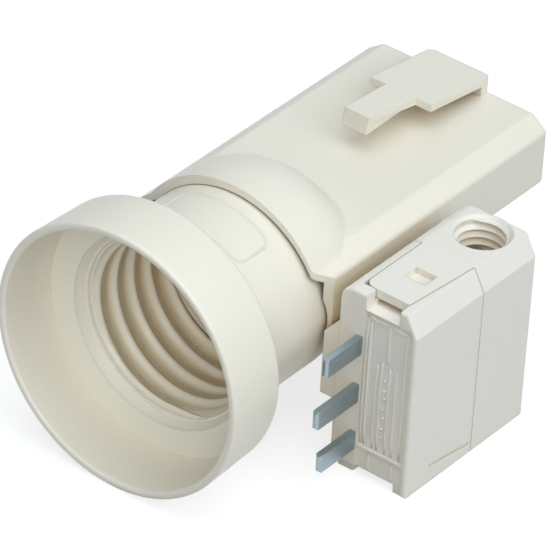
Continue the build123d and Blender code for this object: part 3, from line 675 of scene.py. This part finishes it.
def rib_points(path, wide, out, half_width, height, ring=False):
    """A low rounded rib along a path of points on a surface.

    With a from 0 to pi its profile is half_width * cos a across and height * sin a out from the
    surface, closed by a foot under the surface. On an open path it sinks to nothing at both ends.
    """
    u = np.linspace(0, 1, len(path))[:, None]
    swell = np.clip(np.minimum(u, 1 - u) * len(path) / 2, RIB_END_SHARE, 1)
    if ring:
        swell = np.ones_like(u)
    a = np.linspace(0, np.pi, RIB_TOP_POINTS)[None, :]
    x = half_width * np.cos(a) * np.ones_like(u)
    y = height * np.sin(a) * swell
    x = np.concatenate([x, x[:, -1:], x[:, :1]], axis=1)
    y = np.concatenate([y, np.full((len(path), 2), -RIB_FOOT)], axis=1)
    return path[:, None, :] + x[..., None] * wide[:, None, :] + y[..., None] * out[:, None, :]


def straight_rib(start, end, wide, out, half_width, height):
    """A rib on a straight path, its points start + (end - start) * u with u from 0 to 1."""
    u = np.linspace(0, 1, RIB_STEPS)[:, None]
    path = np.asarray(start) + (np.asarray(end) - np.asarray(start)) * u
    across = np.tile(np.asarray(wide, float), (RIB_STEPS, 1))
    outward = np.tile(np.asarray(out, float), (RIB_STEPS, 1))
    return rib_points(path, across, outward, half_width, height)


class LAMPHOLDER_OT_finishes(bpy.types.Operator):
    """Gives every CAD node its moulded or metal finish"""

    bl_idname = "lampholder.finishes"
    bl_label = "Mouldings and metal"

    def execute(self, context):
        finish = context.scene.lampholder_finish
        # Holder: warm white with a soft sheen, a little painted shade in recesses, and brown
        # painted shade in the lines where barrel and housing meet
        holder = moulded_white(
            "satin_white_pbt_holder",
            finish,
            finish.moulding,
            grain_mm=0.22,
            roughness=0.36,
            recess_shade=0.3,
            joint_shade=0.9,
        )
        dress(HOLDER_NODES, holder)
        # Plug: a cooler white, with little painted shade at its seams and creamy painted shade in
        # its pocket and entry
        plug = moulded_white(
            "satin_white_pbt_plug",
            finish,
            finish.plug_moulding,
            grain_mm=0.22,
            roughness=0.36,
            recess_shade=0.7,
            joint_shade=0.15,
        )
        dress(PLUG_NODES, plug)
        # Lamp thread: white crests over valleys in a brown painted shade
        moulded_white(
            "satin_white_pbt_socket",
            finish,
            finish.moulding,
            grain_mm=0.22,
            roughness=0.36,
            recess_shade=1.0,
            joint_shade=0.0,
            reach=0.75,
            threaded=True,
        )
        # Carrier and block: the same white without gloss, coarser in grain, with full painted
        # shade in recesses and some in its joints
        insulator = moulded_white(
            "matt_white_insulator",
            finish,
            finish.moulding,
            grain_mm=0.3,
            roughness=0.55,
            recess_shade=1.0,
            joint_shade=0.5,
        )
        dress(INSULATOR_NODES, insulator)
        # Pins: blue-grey nickel with light edges, dull from the plating bath
        pin = rolled_metal(
            "dull_nickel_plated_pin", finish.plate, roughness=0.34, line_mm=0.12, axis=1
        )
        dress(PIN_NODES, pin)
        # Contacts, leads and clips: yellow brass, bright along the rolling lines
        brass = rolled_metal(
            "rolled_spring_brass", finish.brass, roughness=0.28, line_mm=0.1, axis=1
        )
        dress(BRASS_NODES, brass)
        # Screws: pale grey zinc with a soft gleam
        screw = rolled_metal(
            "zinc_plated_screw", finish.zinc, roughness=0.3, line_mm=0.12, axis=0
        )
        dress(SCREW_NODES, screw)
        return {"FINISHED"}


class LAMPHOLDER_OT_lamp_thread(bpy.types.Operator):
    """Builds the moulded lamp thread in the socket"""

    bl_idname = "lampholder.lamp_thread"
    bl_label = "Lamp thread"

    def execute(self, context):
        sizes = context.scene.lampholder_threads
        length = SOCKET["dims"]["length_mm"] * MM
        # The lamp goes in clockwise, so the ridge turns against the angle in XZ as it goes deeper
        points = thread_points(
            root=SOCKET["dims"]["r_mm"] * MM - 0.02 * MM,
            depth=sizes.lamp_depth,
            pitch=sizes.lamp_pitch,
            start=-1.5 * MM,
            end=length + 0.2 * sizes.lamp_pitch,
            low=-1.2 * MM,
            high=length,
            first_angle=math.radians(-48),
            hand=-1,
            axis=1,
            centre=(0, 0, 0),
            back=0.65 * MM,
            narrow=2.6,
        )
        piece = surface_piece(
            "lamp_thread",
            [points],
            HOLDER_BODY,
            bpy.data.materials["satin_white_pbt_socket"],
        )
        # The attribute places the painted shade of the valleys
        # The valley attribute is 1 - ridge(s, VALLEY_POWER) across the strip, and 1 on its back
        s = np.linspace(-0.5, 0.5, THREAD_POINTS_ACROSS)
        across = np.concatenate([1 - ridge(s, VALLEY_POWER), [1, 1]])
        valley = piece.data.attributes.new("valley", "FLOAT", "POINT")
        valley.data.foreach_set("value", np.tile(across, points.shape[0]))
        return {"FINISHED"}


class LAMPHOLDER_OT_entry_thread(bpy.types.Operator):
    """Builds the moulded thread in the plug's cable entry"""

    bl_idname = "lampholder.entry_thread"
    bl_label = "Cable entry thread"

    def execute(self, context):
        sizes = context.scene.lampholder_threads
        x, y, top = ENTRY["pos_m"]
        length = ENTRY["dims"]["length_mm"] * MM
        points = thread_points(
            root=ENTRY["dims"]["r_mm"] * MM - 0.01 * MM,
            depth=sizes.entry_depth,
            pitch=sizes.entry_pitch,
            start=top - length + 0.3 * sizes.entry_pitch,
            end=top - 0.1 * sizes.entry_pitch,
            low=top - length,
            high=top,
            first_angle=0,
            hand=1,
            axis=2,
            centre=(x, y, 0),
            back=0.12 * MM,
            narrow=1.2,
        )
        surface_piece(
            "entry_thread",
            [points],
            HOOD_BODY,
            bpy.data.materials["satin_white_pbt_plug"],
        )
        return {"FINISHED"}


class LAMPHOLDER_OT_panel_ribs(bpy.types.Operator):
    """Builds the moulded lines in the plug's front panel"""

    bl_idname = "lampholder.panel_ribs"
    bl_label = "Plug panel ribs"

    def execute(self, context):
        sizes = context.scene.lampholder_ribs
        face = PLUG_FRONT_Y + PANEL_SINK
        half = sizes.panel_width / 2
        height = sizes.panel_height
        grids = []
        for x, low, high in PANEL_LINES:
            start = (x * MM, face, low * MM)
            end = (x * MM, face, high * MM)
            grids.append(straight_rib(start, end, (1, 0, 0), (0, -1, 0), half, height))
        for z, left, right in PANEL_BARS:
            start = (left * MM, face, z * MM)
            end = (right * MM, face, z * MM)
            grids.append(straight_rib(start, end, (0, 0, 1), (0, -1, 0), half, height))
        surface_piece(
            "panel_ribs",
            grids,
            HOLDER_BODY,
            bpy.data.materials["satin_white_pbt_plug"],
        )
        return {"FINISHED"}


class LAMPHOLDER_OT_label_field(bpy.types.Operator):
    """Builds the bare rounded label field on the barrel"""

    bl_idname = "lampholder.label_field"
    bl_label = "Label field"

    def execute(self, context):
        sizes = context.scene.lampholder_ribs
        # A rounded oblong, |p| ** n + |q| ** n = 1 with n the squareness, wrapped on the barrel
        t = np.linspace(0, 2 * np.pi, LABEL_STEPS, endpoint=False)
        power = 2 / LABEL_SQUARENESS
        p = np.sign(np.cos(t)) * np.abs(np.cos(t)) ** power
        q = np.sign(np.sin(t)) * np.abs(np.sin(t)) ** power
        angle = LABEL_ANGLE + LABEL_HALF_ANGLE * p
        depth = LABEL_Y + LABEL_HALF_Y * q
        zero = np.zeros_like(t)
        out = np.stack([np.cos(angle), zero, np.sin(angle)], axis=1)
        path = out * BARREL_R + np.stack([zero, depth, zero], axis=1)
        along = np.roll(path, -1, axis=0) - np.roll(path, 1, axis=0)
        along /= np.linalg.norm(along, axis=1)[:, None]
        wide = np.cross(along, out)
        half = sizes.label_width / 2
        surface_piece(
            "label_field",
            [rib_points(path, wide, out, half, sizes.label_height, ring=True)],
            HOLDER_BODY,
            bpy.data.materials["satin_white_pbt_holder"],
            ring=True,
        )
        return {"FINISHED"}


def lay_floor(stage):
    """Lays a plain sheet of paper under the object, level with its lowest point."""
    mesh = bpy.data.meshes.new("floor")
    corners = [(-1, -1), (1, -1), (1, 1), (-1, 1)]
    floor_z = CAD_BOX[0].z
    mesh.from_pydata(
        [(x * FLOOR_HALF, y * FLOOR_HALF, floor_z) for x, y in corners], [], [(0, 1, 2, 3)]
    )
    floor = new_object("floor", mesh)
    # White card: quite matt, so it shows the shadow and no reflection
    material, tree = fresh_material("white_paper_floor")
    paper = add_node(
        tree,
        "ShaderNodeBsdfPrincipled",
        inputs={"Base Color": (*stage.floor, 1), "Roughness": 0.9},
    )
    # Only the camera and reflections see the lift, so the paper looks white and the shadow stays
    lift = add_node(
        tree,
        "ShaderNodeMath",
        settings={"operation": "MULTIPLY"},
        inputs={1: stage.floor_lift},
        links={0: seen_rays(tree)},
    )
    glow = add_node(tree, "ShaderNodeEmission", links={"Strength": lift.outputs["Value"]})
    both = add_node(
        tree,
        "ShaderNodeAddShader",
        links={0: paper.outputs["BSDF"], 1: glow.outputs["Emission"]},
    )
    add_node(tree, "ShaderNodeOutputMaterial", links={"Surface": both.outputs["Shader"]})
    mesh.materials.append(material)


def set_surroundings(scene):
    """Surrounds the stage with a studio that is white to the eye and gives a little even light."""
    scene.world = bpy.data.worlds.new("white_studio")
    scene.world.use_nodes = True
    tree = scene.world.node_tree
    tree.nodes.clear()
    strength = add_node(
        tree,
        "ShaderNodeMapRange",
        inputs={"To Min": SURROUND_LIGHT, "To Max": 1.0},
        links={"Value": seen_rays(tree)},
    )
    background = add_node(
        tree,
        "ShaderNodeBackground",
        inputs={"Color": (*STUDIO_WHITE, 1)},
        links={"Strength": strength.outputs["Result"]},
    )
    add_node(
        tree, "ShaderNodeOutputWorld", links={"Surface": background.outputs["Background"]}
    )


def hang_lamp(name, light, target, offset):
    """Hangs a lamp at target + offset, turned to shine on the target."""
    light.color = STUDIO_WHITE
    lamp = new_object(name, light)
    lamp.location = target + Vector(offset)
    lamp.rotation_euler = Vector(offset).to_track_quat("Z", "Y").to_euler()


def hang_lamps():
    """Hangs the softboxes round the object and a narrow fill before the socket's mouth."""
    middle = (CAD_BOX[0] + CAD_BOX[1]) / 2
    for name, offset, width, power in SOFTBOXES:
        light = bpy.data.lights.new(name, "AREA")
        light.shape = "DISK"
        light.size = width
        light.energy = power
        hang_lamp(name, light, middle, offset)
    # The fill shines in from between the camera and the lamp's axis, so no shadow of it is seen
    spot = bpy.data.lights.new("socket_fill", "SPOT")
    spot.energy = FILL_POWER
    spot.spot_size = FILL_ANGLE
    spot.spot_blend = FILL_BLEND
    spot.shadow_soft_size = FILL_RADIUS
    hang_lamp("socket_fill", spot, FILL_AIM, FILL_OFFSET)


def stand_camera(scene, stage):
    """Stands the camera at its place, turned by azimuth and elevation and then by its roll."""
    a, e, r = stage.azimuth, stage.elevation, stage.roll
    back = Vector((math.sin(a) * math.cos(e), -math.cos(a) * math.cos(e), math.sin(e)))
    level = Vector((math.cos(a), math.sin(a), 0))
    upright = back.cross(level)
    right = level * math.cos(r) + upright * math.sin(r)
    up = upright * math.cos(r) - level * math.sin(r)
    camera = bpy.data.cameras.new("camera")
    camera.lens = stage.lens
    camera.sensor_width = SENSOR_WIDTH_MM
    camera.clip_start = CLIP_NEAR
    camera.clip_end = CLIP_FAR
    viewer = new_object("camera", camera)
    turn = Matrix((right, up, back)).transposed().to_4x4()
    viewer.matrix_world = Matrix.Translation(Vector(stage.place)) @ turn
    scene.camera = viewer
    scene.view_settings.view_transform = "Standard"


class LAMPHOLDER_OT_stage(bpy.types.Operator):
    """Sets the floor, the soft lights, the white surroundings and the camera"""

    bl_idname = "lampholder.stage"
    bl_label = "Studio stage"

    def execute(self, context):
        stage = context.scene.lampholder_stage
        lay_floor(stage)
        set_surroundings(context.scene)
        hang_lamps()
        stand_camera(context.scene, stage)
        return {"FINISHED"}


class LAMPHOLDER_PT_panel(bpy.types.Panel):
    """Lists the steps that dress the lamp holder"""

    bl_idname = "LAMPHOLDER_PT_panel"
    bl_label = "Lamp holder"
    bl_space_type = "VIEW_3D"
    bl_region_type = "UI"
    bl_category = "Lamp holder"

    def draw(self, context):
        for operator in OPERATORS:
            self.layout.operator(operator.bl_idname)
        for name, group in GROUPS.items():
            for key in group.__annotations__:
                self.layout.prop(getattr(context.scene, name), key)


GROUPS = {
    "lampholder_threads": LampHolderThreads,
    "lampholder_ribs": LampHolderRibs,
    "lampholder_finish": LampHolderFinish,
    "lampholder_stage": LampHolderStage,
}
OPERATORS = (
    LAMPHOLDER_OT_finishes,
    LAMPHOLDER_OT_lamp_thread,
    LAMPHOLDER_OT_entry_thread,
    LAMPHOLDER_OT_panel_ribs,
    LAMPHOLDER_OT_label_field,
    LAMPHOLDER_OT_stage,
)


def register():
    """Registers the classes and hangs the settings on the scene."""
    for cls in (*GROUPS.values(), *OPERATORS, LAMPHOLDER_PT_panel):
        bpy.utils.register_class(cls)
    for name, group in GROUPS.items():
        setattr(bpy.types.Scene, name, bpy.props.PointerProperty(type=group))


def unregister():
    """Takes the settings and the classes away again."""
    for name in GROUPS:
        delattr(bpy.types.Scene, name)
    for cls in reversed((*GROUPS.values(), *OPERATORS, LAMPHOLDER_PT_panel)):
        bpy.utils.unregister_class(cls)


def main():
    """Builds everything in order."""
    register()
    bpy.ops.lampholder.finishes()
    bpy.ops.lampholder.lamp_thread()
    bpy.ops.lampholder.entry_thread()
    bpy.ops.lampholder.panel_ribs()
    bpy.ops.lampholder.label_field()
    bpy.ops.lampholder.stage()
    bpy.context.view_layer.update()


if __name__ == "__main__":
    main()
